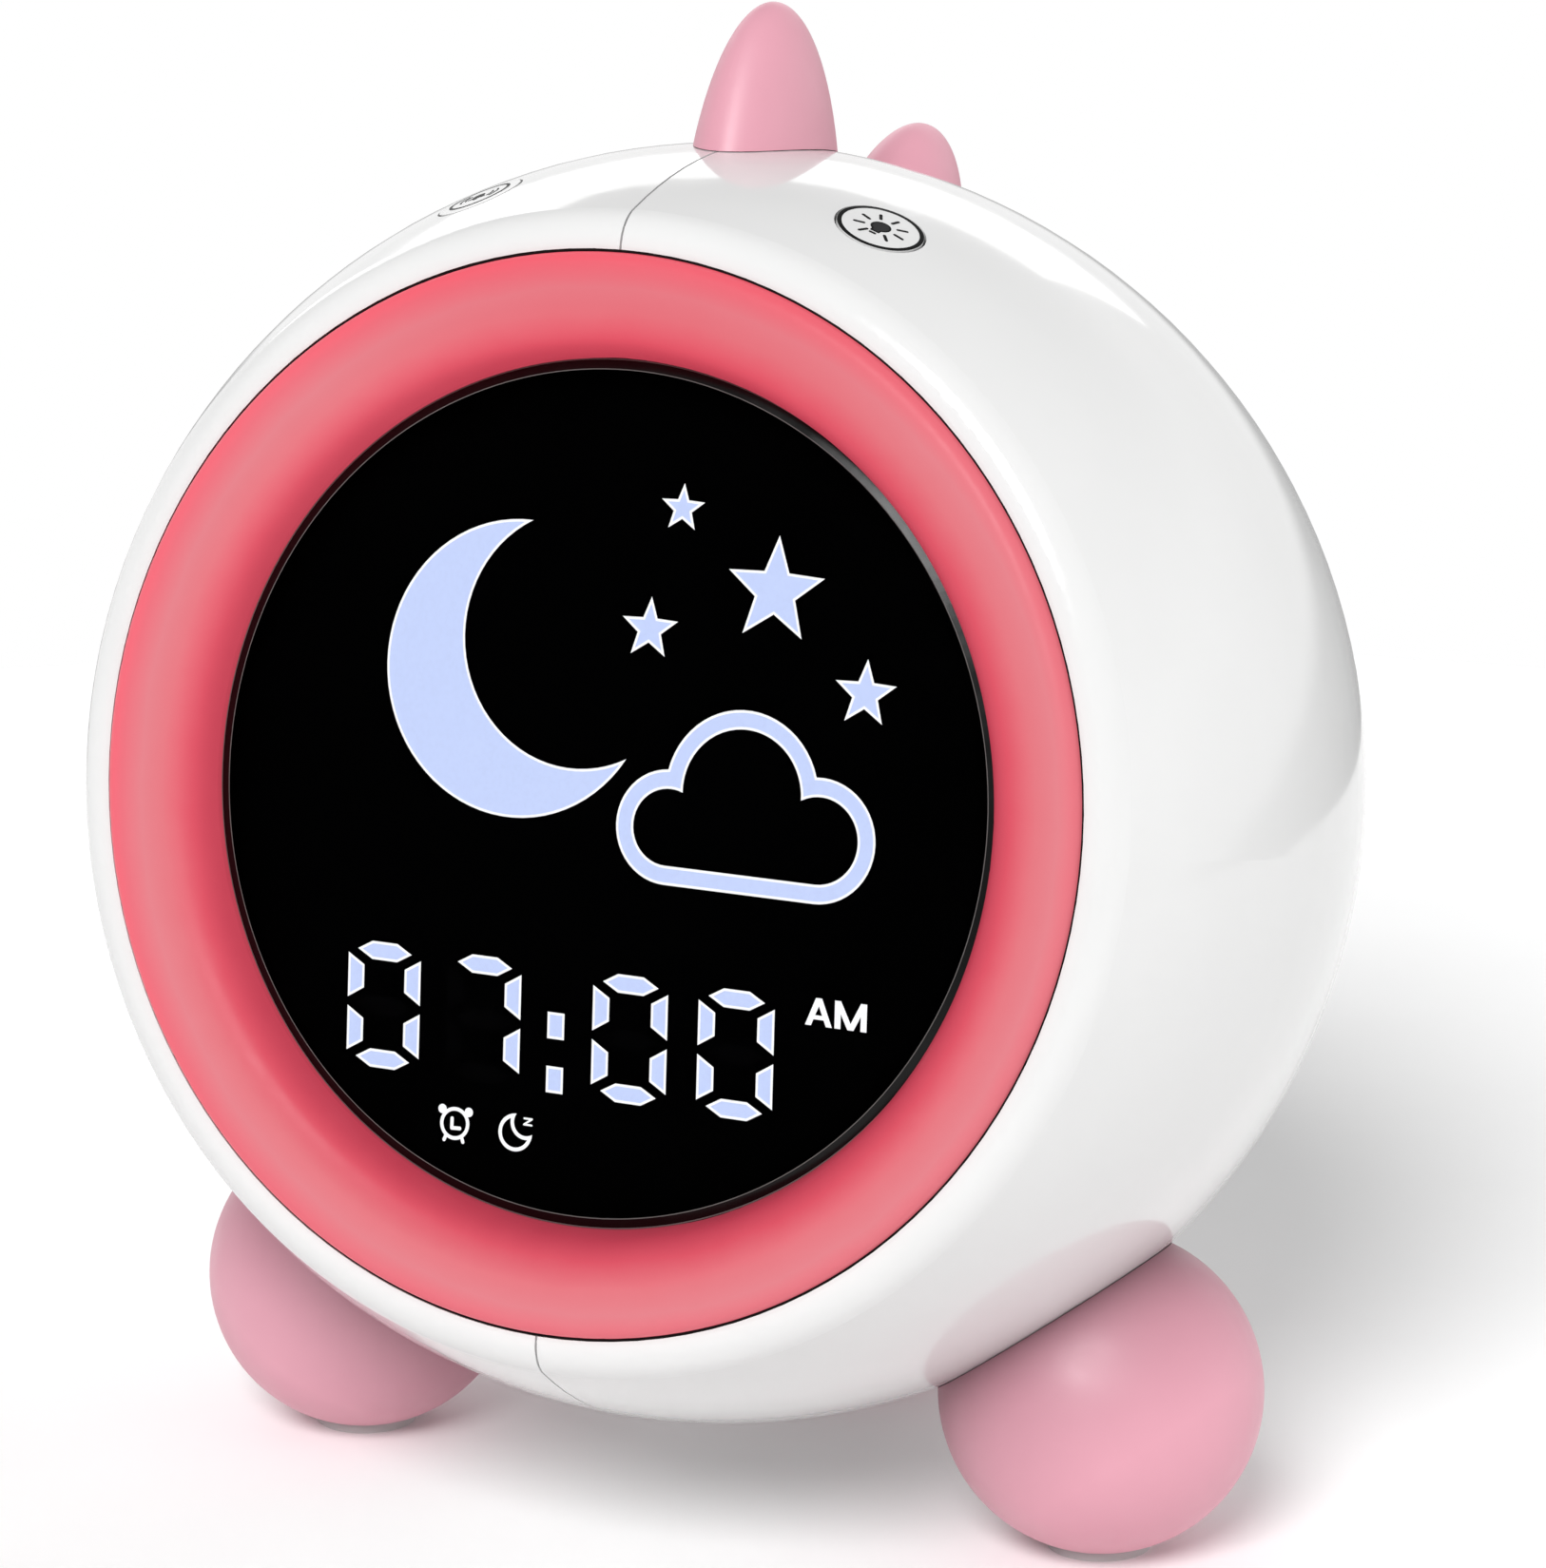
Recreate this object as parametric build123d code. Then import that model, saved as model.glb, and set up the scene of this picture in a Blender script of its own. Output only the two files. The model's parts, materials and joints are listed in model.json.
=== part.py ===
from build123d import *
from math import cos, hypot, radians, sin, sqrt, tan
import os

# Children's bedside clock: a white ball on two round feet and a tail.
# Lengths are in millimetres and angles in degrees. Pieces are drawn in the face frame:
# X to the viewer's right, Y up along the display, Z out of the display, ball centre at zero.

# Ball and its two half shells
body_radius = 55.0
wall = 2.2
front_reach = 28.0
front_round = 3.5
rear_rim = 2.337
rear_round = 1.2
lean = 10.5
ground_gap = 8.4
seam_width = 0.2
seam_depth = 0.4
seat_gap = 0.05
dowel_angles = (-17, 14, 158, 195)
dowel_depth = 4.6
dowel_radius = 1.4
dowel_boss_radius = 2.8
dowel_boss_length = 3.4
dowel_length = 2.4
dowel_gap = 0.1

# Light ring around the display
ring_radius = 44.75
ring_gap = 0.25
ring_wall = 1.85
ring_crown_radius = 41.8
ring_crown_rise = 1.0
ring_edge_drop = 0.3
ring_lip_radius = 36.15
ring_lip_drop = 3.3
ring_channel_shoulder = 1.4
ring_boss_radius = 1.9
ring_boss_angles = (45, 135, 225, 315)
ring_led_count = 16
ring_led_width = 2.8
ring_led_length = 3.4
ring_led_height = 1.3
ring_board_thickness = 1.0
ring_board_gap = 0.25

# Display stack inside the ring
display_radius = 37.6
display_gap = 0.3
lens_drop = 5.1
lens_thickness = 1.5
lens_front_drop = 3.55
lens_step_gap = 0.06
lens_bevel_width = 0.85
lens_bevel_depth = 0.22
mask_thickness = 0.5
light_box_depth = 4.9
board_thickness = 1.6
led_side = 0.9
led_height = 0.5
driver_side = 9.0
driver_height = 1.4
driver_rise = 12.0

# Frame that carries the ring and the display
frame_wall = 1.3
flange_drop = 4.0
flange_thickness = 2.0
flange_margin = 1.6
trough_radius = 43.6
trough_drop = 7.0
trough_floor = 1.2
ledge_width = 3.4
ledge_thickness = 1.5
tongue_margin = 1.1
tongue_width = 0.6
tongue_height = 1.1
tongue_gap = 0.1
rib_thickness = 1.5
rib_gap = 0.4

# Lit signs on the display
digit_width = 7.0
digit_height = 10.7
digit_stroke = 1.56
digit_bar_inset = 0.9
digit_point_share = 0.9
digit_side_shares = ((0.76, 1.35), (0.22, 0.83))
digit_lean_share = -0.057
digit_base = -25.57
digit_lefts = (-23.07, -13.46, 0.3, 10.11)
colon_left = -3.91
colon_width = 1.6
colon_height = 2.23
colon_rise = 4.53
am_left = 19.38
am_base = -16.93
am_height = 2.3
am_widths = (2.45, 2.9)
am_space = 0.22
am_stroke = 0.55
am_bar_rise = 0.52
am_bar_height = 0.36
icon_base = -29.33
alarm_middle = -12.24
alarm_radius = 1.4
alarm_stroke = 0.32
alarm_bell_radius = 0.4
alarm_bell_shares = (0.9, 0.79)
alarm_leg_shares = ((0.54, -0.79), (0.64, -1.05))
alarm_hand_shares = ((-0.2, 0.29), (-0.18, -0.29), (0.36, -0.26))
sleep_middle = -6.46
sleep_radius = 1.6
sleep_stroke = 0.33
sleep_bite = 1.15
sleep_bite_reach = 0.957
sleep_letter_place = (0.76, 0.78)
sleep_letter_width = 0.72
sleep_letter_height = 0.52
sleep_letter_stroke = 0.17
icon_cell_radius = 2.6
am_cell_margin = 0.8
moon_place = (-9.5, 9.5)
moon_radius = 12.5
moon_bite_place = (-4.0, 12.5)
moon_bite_radius = 10.8
cloud_base = -7.0
cloud_stroke = 1.6
cloud_puffs = ((5.5, -2.2, 4.8), (12.0, 1.2, 7.0), (19.2, -1.8, 5.2))
star_places = ((13.6, 18.2, 4.6), (22.4, 10.6, 2.9), (2.4, 14.0, 2.7), (4.6, 24.2, 2.1))
moon_led_places = ((-18.0, 4.0), (-14.0, 0.5), (-8.0, -0.8), (-18.6, 12.0), (-14.5, 17.5))
cloud_led_places = ((1.7, -2.2), (12.0, 7.2), (12.0, -6.2))

# Horn and spikes on the seam: lean back from upright, rise above the ball and half sizes.
# The tail runs on past the floor before it is cut flat.
horn_angle = 8.3
horn_rise = 12.0
horn_half_width = 5.8
horn_half_length = 10.4
horn_half_height = 22.4
upper_spike_angle = 39.6
upper_spike_rise = 11.1
upper_spike_half_width = 5.4
upper_spike_half_length = 8.6
upper_spike_half_height = 16.0
lower_spike_angle = 64.5
lower_spike_rise = 8.4
lower_spike_half_width = 4.4
lower_spike_half_length = 6.2
lower_spike_half_height = 12.0
tail_angle = 147.0
tail_overrun = 3.4
tail_half_width = 9.5
tail_half_length = 9.5
tail_half_height = 26.0
tail_pad_radius = 3.4
tail_pad_thickness = 0.9
root_width = 4.0
root_length = 7.0
root_depth = 0.7
root_head = 1.6
root_lip = 1.5
root_gap = 0.15

# Feet
foot_radius = 13.97
foot_wall = 2.4
foot_standoff = 6.258
foot_back = -0.97
foot_peg_radius = 3.6
foot_peg_gap = 0.2
foot_peg_inside = 1.2
foot_pad_radius = 4.5
foot_pad_thickness = 1.4
foot_screw_radius = 1.15
foot_screw_gap = 0.1
foot_screw_length = 10.0
foot_head_radius = 5.6
foot_head_height = 1.4

# Top buttons
button_side = 19.8
button_forward = 20.5
button_radius = 3.7
button_gap = 0.2
button_rise = 0.05
button_travel = 0.7
button_lip = 0.65
button_lip_thickness = 1.35
button_lip_depth = 0.55
plunger_radius = 1.3
plunger_length = 2.7
switch_side = 5.0
switch_height = 3.4
switch_floor = 0.8
switch_clear = 0.8
switch_board_length = 17.6
switch_board_width = 6.0
switch_board_thickness = 1.2
switch_post_spread = 7.0
switch_post_radius = 1.7

# Rear cover and what it carries, seen from behind: X to the right, Y up, Z out of the back
cover_radius = 23.4
cover_gap = 0.2
cover_thickness = 2.4
cover_ledge_radius = 18.5
cover_ledge_thickness = 2.2
cover_screw_circle = 20.8
cover_screw_angles = (45, 135, 225, 315)
cover_boss_radius = 2.2
cover_boss_length = 5.0
main_board_radius = 17.8
main_board_top = -2.2
main_board_drop = 5.3
main_post_radius = 1.8
main_post_places = ((-15.2, -4.3), (15.2, -4.3), (-9.5, -12.9), (9.5, -12.9))
rear_button_places = {"set_button": -10.8, "alarm_button": -3.6, "minus_button": 3.6, "plus_button": 10.8}
rear_button_row = -6.5
rear_button_radius = 2.3
rear_button_gap = 0.3
rear_button_rise = 0.6
rear_button_travel = 0.6
rear_button_lip = 0.6
rear_button_lip_thickness = 1.0
rear_button_lip_gap = 0.1
rear_stem_radius = 1.1
rear_stem_length = 2.5
rear_switch_side = 4.4
rear_switch_height = 2.8
rear_stem_clear = 0.3
usb_row = -14.2
usb_width = 8.94
usb_height = 3.26
usb_wall = 0.3
usb_depth = 6.4
usb_gap = 0.2
usb_tongue_width = 6.7
usb_tongue_thickness = 0.7
usb_tongue_length = 5.0
chip_side = 7.0
chip_height = 1.0
chip_place = (0.0, -10.6)

# Speaker behind the grille of the rear cover
speaker_row = 7.9
speaker_radius = 9.0
speaker_depth = 4.5
speaker_plate = 0.8
speaker_base_radius = 6.8
speaker_rim = 1.0
speaker_rim_thickness = 1.1
cone_thickness = 0.3
cone_edge_drop = 0.4
coil_radius = 2.2
magnet_radius = 4.8
magnet_height = 3.0
collar_gap = 0.15
collar_wall = 0.9
collar_height = 2.4
grille_hole_radius = 0.75
grille_pitch = 2.6
grille_radius = 6.6

# Battery lying across the ball
battery_radius = 9.2
battery_length = 65.0
battery_rise = -24.0
battery_forward = -12.0
battery_gap = 0.3
cup_wall = 1.6
cup_start = 25.0
cup_stop = 1.5

# Small screws: thread and head
screw_radius = 0.8
screw_gap = 0.1
screw_length = 5.0
screw_head_radius = 1.5
screw_head_height = 1.1
cover_screw_radius = 1.1
cover_screw_length = 6.4
cover_head_radius = 1.9
cover_head_height = 1.3
head_gap = 0.15

# Leads inside the ball
lead_radius = 0.6
lead_bend = 1.8
lead_loop = 4.0
ribbon_width = 8.0
ribbon_thickness = 0.8
ribbon_bend = 8.0
ribbon_place = (-10.0, -9.0)
ribbon_slack = 9.0
ribbon_turns = (4.0, -9.0, -24.0)
battery_lead_place = 9.0
battery_lead_end = -9.5
battery_lead_turn = 7.8
speaker_lead_offset = 5.8
speaker_lead_end = -5.5
button_lead_start = 1.5
button_lead_drop = 2.0
button_lead_turns = ((16.0, 30.0, -8.0), (16.0, 0.0, -30.0))
button_lead_end = (15.0, -7.6)

# Derived planes and radii
centre_height = body_radius + ground_gap
inner_radius = body_radius - wall
rear_reach = sqrt(body_radius ** 2 - (cover_radius + cover_gap + rear_rim) ** 2)
ring_crown_reach = front_reach + ring_crown_rise
ring_edge_reach = front_reach - ring_edge_drop
ring_lip_reach = front_reach - ring_lip_drop
lens_reach = front_reach - lens_drop
lens_front = front_reach - lens_front_drop
flange_reach = front_reach - flange_drop
trough_reach = front_reach - trough_drop
button_lip_reach = inner_radius - button_lip_depth
opening_radius = ring_radius + ring_gap
flange_radius = opening_radius + flange_margin
tongue_radius = opening_radius + tongue_margin
bore_radius = display_radius + display_gap
tube_radius = bore_radius + frame_wall
trough_outer = trough_radius + frame_wall
trough_middle = (tube_radius + trough_radius) / 2
rib_radius = trough_outer + rib_gap
pilot_radius = screw_radius + screw_gap
mask_front = lens_reach - lens_thickness
box_front = mask_front - mask_thickness
board_front = box_front - light_box_depth
board_back = board_front - board_thickness
trough_back = trough_reach - trough_floor
flange_back = flange_reach - flange_thickness
button_lip_bottom = button_lip_reach - button_lip_thickness
switch_top = button_lip_bottom - button_travel - switch_clear
switch_base = switch_top - switch_height
switch_board_back = switch_base - switch_board_thickness
cover_inside = rear_reach - cover_thickness
ledge_inside = cover_inside - cover_ledge_thickness
main_board_outside = cover_inside - main_board_drop
main_board_inside = main_board_outside - board_thickness
base_low = (Align.CENTER, Align.CENTER, Align.MIN)
base_high = (Align.CENTER, Align.CENTER, Align.MAX)

upright = 90 - lean
level = Rot(-upright, 0, 0)
behind = Rot(0, 180, 0)
foot_drop = centre_height - foot_radius
foot_spread = sqrt((body_radius + foot_standoff) ** 2 - foot_drop ** 2 - foot_back ** 2)
tail_tip = centre_height / cos(radians(180 - tail_angle)) + tail_overrun


def column(radius, low, high):
    return Pos(0, 0, low) * Cylinder(radius, high - low, align=base_low)


def slab(width, length, low, high):
    return Pos(0, 0, low) * Box(width, length, high - low, align=base_low)


def tube(inner, outer, low, high):
    return column(outer, low, high) - column(inner, low, high)


def turned(*points):
    return revolve(make_face(Plane.XZ * Polyline(*points, close=True)), Axis.Z)


def on_seam(angle):
    """Frame on the seam plane, Z outward, at an angle back from upright in the standing clock."""
    return Rot(-upright - angle, 0, 0)


def button_seat(side):
    """Frame of a top button, Z outward along its axis; side is 1 for the right and -1 for the left."""
    return Rot(button_forward - 90, 0, 0) * Rot(0, side * button_side, 0)


def foot_seat(side):
    """Frame of a foot, Z outward from the ball centre through the foot's own centre."""
    centre = level * Pos(side * foot_spread, foot_back, -foot_drop)
    return Plane(origin=(0, 0, 0), z_dir=centre.position).location


def around(radius, angles):
    return [Pos(radius * cos(radians(a)), radius * sin(radians(a))) for a in angles]


def screw(radius, length, head_radius, head_height):
    """Pan-head screw with a cross slot, under-head face at zero and thread along -Z."""
    blank = Cylinder(head_radius, head_height, align=base_low)
    head = fillet(blank.edges().sort_by(Axis.Z)[-1], head_height / 2)
    for angle in (0, 90):
        slot = Box(head_radius, head_height / 3, head_height / 2, align=base_high)
        head -= Pos(0, 0, head_height) * Rot(0, 0, angle) * slot
    return head + Cylinder(radius, length, align=base_high)


def board_screw():
    return screw(screw_radius, screw_length, screw_head_radius, screw_head_height)


# Lit signs, drawn flat on the display

def leaned(left, points):
    """Outline on the base line of the digits, leaning as they do."""
    corners = [(left + x + digit_lean_share * y, digit_base + y) for x, y in points]
    return Polygon(*corners, align=None)


def bar_points(rise):
    """Level segment of a digit, pointed at both ends."""
    left, right = digit_bar_inset, digit_width - digit_bar_inset
    point, half = digit_stroke * digit_point_share, digit_stroke / 2
    return [(left, rise), (left + point, rise + half), (right - point, rise + half),
            (right, rise), (right - point, rise - half), (left + point, rise - half)]


def segments(left):
    """Seven segments of one digit, from the top clockwise and the middle bar last."""
    w, h, s = digit_width, digit_height, digit_stroke
    (outer_high, inner_high), (outer_low, inner_low) = digit_side_shares
    side = [(0, h - s * outer_high), (s, h - s * inner_high),
            (s, h / 2 + s * inner_low), (0, h / 2 + s * outer_low)]

    def flip(points, across, up):
        return [(w - x if across else x, h - y if up else y) for x, y in points]

    outlines = [bar_points(h - s / 2), flip(side, True, False), flip(side, True, True), bar_points(s / 2),
                flip(side, False, True), side, bar_points(h / 2)]
    return [leaned(left, outline) for outline in outlines]


def digit_sketches():
    """Lit and unlit segments of 07:00, with the colon among the lit ones."""
    lit_shares = ((0, 1, 2, 3, 4, 5), (0, 1, 2), (0, 1, 2, 3, 4, 5), (0, 1, 2, 3, 4, 5))
    lit = []
    for low in (0, colon_rise):
        high = low + colon_height
        lit.append(leaned(colon_left, [(0, low), (colon_width, low), (colon_width, high), (0, high)]))
    unlit = []
    for left, numbers in zip(digit_lefts, lit_shares):
        for number, shape in enumerate(segments(left)):
            (lit if number in numbers else unlit).append(shape)
    return lit, unlit


def stroke(points, width):
    """Line of even width with round ends and corners."""
    line = Sketch()
    for start, end in zip(points, points[1:]):
        step = Vector(*end) - Vector(*start)
        centre = (Vector(*start) + Vector(*end)) / 2
        line += Pos(centre.X, centre.Y) * Rot(0, 0, step.get_signed_angle(Vector(1, 0), Vector(0, 0, -1))) \
            * Rectangle(step.length, width)
    for point in points:
        line += Pos(*point) * Circle(width / 2)
    return line


def letter_stroke(low, high):
    """Straight stroke of a letter from the base line to its top, given its left edge at both."""
    top = high + digit_lean_share * am_height
    return Polygon((low, 0), (low + am_stroke, 0), (top + am_stroke, am_height), (top, am_height), align=None)


def am_sketch():
    width, m_width = am_widths
    middle, right = (width - am_stroke) / 2, width - am_stroke
    a = letter_stroke(0, middle) + letter_stroke(right, middle)
    a += Pos(width / 2, am_bar_rise) * Rectangle(width / 2, am_bar_height, align=(Align.CENTER, Align.MIN))
    middle, right = (m_width - am_stroke) / 2, m_width - am_stroke
    m = letter_stroke(0, 0) + letter_stroke(right, right)
    m += letter_stroke(middle, 0) + letter_stroke(middle, right)
    return Pos(am_left, am_base) * a + Pos(am_left + width + am_space, am_base) * m


def crescent(inset):
    bite = Pos(sleep_bite_reach, sleep_bite_reach) * Circle(sleep_bite + inset)
    return Circle(sleep_radius - inset) - bite


def icon_sketches():
    """Alarm clock with two bells, and an outlined moon with a sleep letter."""
    r, s = alarm_radius, alarm_stroke
    clock = Circle(r) - Circle(r - s)
    across, up = alarm_bell_shares
    for side in (-1, 1):
        clock += Pos(side * r * across, r * up) * Circle(alarm_bell_radius)
        clock += stroke([(side * r * x, r * y) for x, y in alarm_leg_shares], s)
    clock += stroke([(r * x, r * y) for x, y in alarm_hand_shares], s)
    moon = crescent(0) - crescent(sleep_stroke)
    left, low = sleep_letter_place
    right, high = left + sleep_letter_width, low + sleep_letter_height
    moon += stroke([(left, high), (right, high), (left, low), (right, low)], sleep_letter_stroke)
    return [Pos(alarm_middle, icon_base) * clock, Pos(sleep_middle, icon_base) * moon]


def star(radius):
    inner_share = 0.42
    corners = []
    for number in range(10):
        reach = radius if number % 2 == 0 else radius * inner_share
        angle = radians(90 + 36 * number)
        corners.append((reach * cos(angle), reach * sin(angle)))
    return Polygon(*corners, align=None)


def cloud(inset):
    left, right = cloud_puffs[0], cloud_puffs[-1]
    low = cloud_base + inset
    shape = Pos(left[0], low) * Rectangle(right[0] - left[0], left[1] - low, align=(Align.MIN, Align.MIN))
    for x, y, radius in cloud_puffs:
        shape += Pos(x, y) * Circle(radius - inset)
    return shape


def moon_sketch():
    return Pos(*moon_place) * Circle(moon_radius) - Pos(*moon_bite_place) * Circle(moon_bite_radius)


def star_sketches():
    return [Pos(x, y) * star(radius) for x, y, radius in star_places]


def picture_sketches():
    """Crescent moon, outlined cloud and stars."""
    return [moon_sketch(), cloud(0) - cloud(cloud_stroke)] + star_sketches()


lit_digits, unlit_digits = digit_sketches()
am_sign = [am_sketch()]
icons = icon_sketches()
picture = picture_sketches()
am_cell_width = sum(am_widths) + am_space
am_cell_centre = (am_left + am_cell_width / 2, am_base + am_height / 2)
icon_places = [(alarm_middle, icon_base), (sleep_middle, icon_base)]


def raised(sketches, low, high):
    plates = [extrude(Pos(0, 0, low) * sketch, high - low, dir=(0, 0, 1)) for sketch in sketches]
    return Compound([solid for plate in plates for solid in plate.solids()])


def display_plate(sketches, low, high):
    """Round plate of the display stack, pierced by the given outlines."""
    plate = column(display_radius, low, high)
    for sketch in sketches:
        plate -= extrude(Pos(0, 0, low) * sketch, high - low, dir=(0, 0, 1))
    return plate


def display_lens():
    """Window whose raised middle fills the lip of the ring, bevelled round its front."""
    radius = ring_lip_radius - lens_step_gap
    bevel_low = lens_front - lens_bevel_depth
    bevel = Cone(radius, radius - lens_bevel_width, lens_bevel_depth, align=base_low)
    return display_plate([], mask_front, lens_reach) + column(radius, lens_reach, bevel_low) \
        + Pos(0, 0, bevel_low) * bevel


def display_mask():
    """Opaque layer bonded to the back of the lens, which also holds its islands."""
    return display_plate(lit_digits + unlit_digits + am_sign + icons + picture, box_front, mask_front)


def light_box():
    """Plate with a cell behind every sign; the small signs share wider cells."""
    am_cell = Rectangle(am_cell_width + am_cell_margin, am_height + am_cell_margin)
    cells = lit_digits + unlit_digits + [moon_sketch(), cloud(0)] + star_sketches()
    cells += [Pos(*am_cell_centre) * am_cell]
    cells += [Pos(*place) * Circle(icon_cell_radius) for place in icon_places]
    return display_plate(cells, board_front, box_front)


# Ball

def body_form(inset):
    """Ball with its flat front and flat back, rounded at both edges."""
    size = body_radius * 2
    ball = Sphere(body_radius - inset)
    ball -= Pos(0, 0, front_reach - inset) * Box(size, size, size, align=base_low)
    ball -= Pos(0, 0, inset - rear_reach) * Box(size, size, size, align=base_high)
    ball = fillet(ball.faces().sort_by(Axis.Z)[-1].edges(), front_round)
    return fillet(ball.faces().sort_by(Axis.Z)[0].edges(), rear_round)


def inside_wall(shape):
    """Inner moulding cut off halfway through the wall so that it grows out of it."""
    return shape & Sphere(body_radius - wall / 2)


def shell_mouldings():
    rib = column(body_radius, flange_back - rib_thickness, flange_back)
    rib -= column(rib_radius, flange_back - rib_thickness, flange_back)
    for side in (-1, 1):
        rib -= button_seat(side) * column(button_radius + button_lip + button_gap, 0, body_radius)
        rib -= button_seat(side) * slab(switch_board_length + 2 * rib_gap, switch_board_width + 2 * rib_gap,
                                        switch_board_back - rib_gap, switch_base + rib_gap)
    mouldings = inside_wall(rib)
    for angle in dowel_angles:
        seat = Rot(-90 - angle, 0, 0) * Pos(0, 0, inner_radius - dowel_depth / 2) * Rot(0, 90, 0)
        boss = Cylinder(dowel_boss_radius, dowel_boss_length * 2)
        web = Pos(-dowel_depth, 0, 0) * Box(dowel_depth * 2, dowel_boss_radius, dowel_boss_length * 2)
        mouldings += inside_wall(seat * (boss + web))
    for side in (-1, 1):
        for place in (-switch_post_spread, switch_post_spread):
            post = Pos(place, 0, 0) * column(switch_post_radius, switch_base, body_radius)
            mouldings += inside_wall(button_seat(side) * post)
        mouldings += inside_wall(battery_cup(side))
    bosses = [behind * place * column(cover_boss_radius, ledge_inside - cover_boss_length, ledge_inside)
              for place in around(cover_screw_circle, cover_screw_angles)]
    return mouldings + bosses


def battery_seat():
    return Pos(0, battery_rise, battery_forward) * Rot(0, 90, 0)


def battery_cup(side):
    bore = battery_radius + battery_gap
    stop = battery_length / 2 + battery_gap
    cup = tube(bore, bore + cup_wall, cup_start, body_radius)
    cup += column(bore + cup_wall, stop, stop + cup_stop)
    return battery_seat() * Rot(0, 90 - 90 * side, 0) * cup


def shell_openings():
    """Everything cut out of the ball after its mouldings are on."""
    cuts = [column(opening_radius, flange_reach, body_radius)]
    half_groove = tongue_width / 2 + tongue_gap
    cuts += [tube(tongue_radius - half_groove, tongue_radius + half_groove,
                  flange_reach, flange_reach + tongue_height + tongue_gap)]
    cuts += [behind * column(cover_radius + cover_gap, cover_inside, body_radius)]
    cuts += [behind * column(cover_ledge_radius, ledge_inside, body_radius)]
    for place in around(cover_screw_circle, cover_screw_angles):
        pilot = column(cover_screw_radius + screw_gap, ledge_inside - cover_boss_length, body_radius)
        cuts += [behind * place * pilot]
    for angle in (horn_angle, upper_spike_angle, lower_spike_angle, tail_angle):
        slot = Box(root_width + 2 * root_gap, root_length + 2 * root_gap, body_radius, align=base_low)
        pocket = Box(root_width + 2 * (root_lip + root_gap), root_length + 2 * (root_lip + root_gap),
                     root_head + 2 * root_gap, align=base_high)
        cuts += [on_seam(angle) * Pos(0, 0, inner_radius - root_depth + root_gap) * pocket]
        cuts += [on_seam(angle) * Pos(0, 0, inner_radius - root_depth) * slot]
    for side in (-1, 1):
        button_hole = column(button_radius + button_gap, inner_radius - wall, body_radius + wall)
        peg_hole = column(foot_peg_radius + foot_peg_gap, inner_radius - wall, body_radius + wall)
        cuts += [button_seat(side) * button_hole, foot_seat(side) * peg_hole]
        for place in (-switch_post_spread, switch_post_spread):
            pilot = column(pilot_radius, switch_base, switch_board_back + screw_length + screw_gap)
            cuts += [button_seat(side) * Pos(place, 0, 0) * pilot]
    groove = Box(seam_width, 2 * body_radius, 2 * body_radius) - body_form(seam_depth)
    return cuts + [groove]


def dowels(gap):
    pins = []
    for angle in dowel_angles:
        seat = Rot(-90 - angle, 0, 0) * Pos(0, 0, inner_radius - dowel_depth / 2) * Rot(0, 90, 0)
        pins.append(seat * Cylinder(dowel_radius + gap, 2 * (dowel_length + gap)))
    return pins


def shells():
    cavity = Sphere(inner_radius) & column(body_radius, -ledge_inside, flange_reach)
    ball = body_form(0) - cavity + shell_mouldings()
    ball -= shell_openings()
    size = body_radius * 2
    left_side = Box(size, size, size, align=(Align.MAX, Align.CENTER, Align.CENTER))
    left = (ball & left_side) - dowels(dowel_gap)
    right = (ball - left_side) + [pin & left_side for pin in dowels(0)]
    return left, right


# Front: frame, ring and display stack

def front_frame():
    ledge_radius = bore_radius - ledge_width
    ledge_back = board_back - ledge_thickness
    tongue_inner = tongue_radius - tongue_width / 2
    tongue_outer = tongue_radius + tongue_width / 2
    tongue_top = flange_reach + tongue_height
    frame = turned((ledge_radius, ledge_back), (tube_radius, ledge_back), (tube_radius, trough_back),
                   (trough_outer, trough_back), (trough_outer, flange_back), (flange_radius, flange_back),
                   (flange_radius, flange_reach), (tongue_outer, flange_reach), (tongue_outer, tongue_top),
                   (tongue_inner, tongue_top), (tongue_inner, flange_reach), (trough_radius, flange_reach),
                   (trough_radius, trough_reach), (tube_radius, trough_reach), (tube_radius, lens_reach),
                   (bore_radius, lens_reach), (bore_radius, board_back), (ledge_radius, board_back))
    for place in around(trough_middle, ring_boss_angles):
        frame -= place * column(pilot_radius, trough_back, trough_reach)
    return frame


def light_ring():
    skirt = ring_radius - ring_wall
    roof = ring_crown_reach - ring_wall
    shoulder = roof - ring_channel_shoulder
    crown = (ring_crown_radius, ring_crown_reach)
    outside = Spline((ring_radius, ring_edge_reach), crown, (ring_lip_radius, ring_lip_reach),
                     tangents=((0, 1), (-0.15, -1)))
    lip = Polyline((ring_lip_radius, ring_lip_reach), (ring_lip_radius, lens_reach),
                   (tube_radius, lens_reach), (tube_radius, shoulder))
    channel = ThreePointArc((tube_radius, shoulder), ((tube_radius + skirt) / 2, roof), (skirt, shoulder))
    back = Polyline((skirt, shoulder), (skirt, flange_reach), (ring_radius, flange_reach),
                    (ring_radius, ring_edge_reach))
    ring = revolve(Plane.XZ * make_face(outside + lip + channel + back), Axis.Z)
    for place in around(trough_middle, ring_boss_angles):
        ring += place * column(ring_boss_radius, trough_reach, roof)
        ring -= place * column(pilot_radius, trough_reach, shoulder)
    return ring


def ring_screws():
    places = around(trough_middle, ring_boss_angles)
    return Compound([Pos(0, 0, trough_back) * place * Rot(180, 0, 0) * board_screw() for place in places])


def ring_boards():
    """Four arcs between the screw bosses of the ring."""
    board = tube(tube_radius + ring_board_gap, trough_radius - ring_board_gap,
                 trough_reach, trough_reach + ring_board_thickness)
    for place in around(trough_middle, ring_boss_angles):
        board -= place * column(ring_boss_radius + ring_board_gap, trough_reach, body_radius)
    return board


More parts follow.
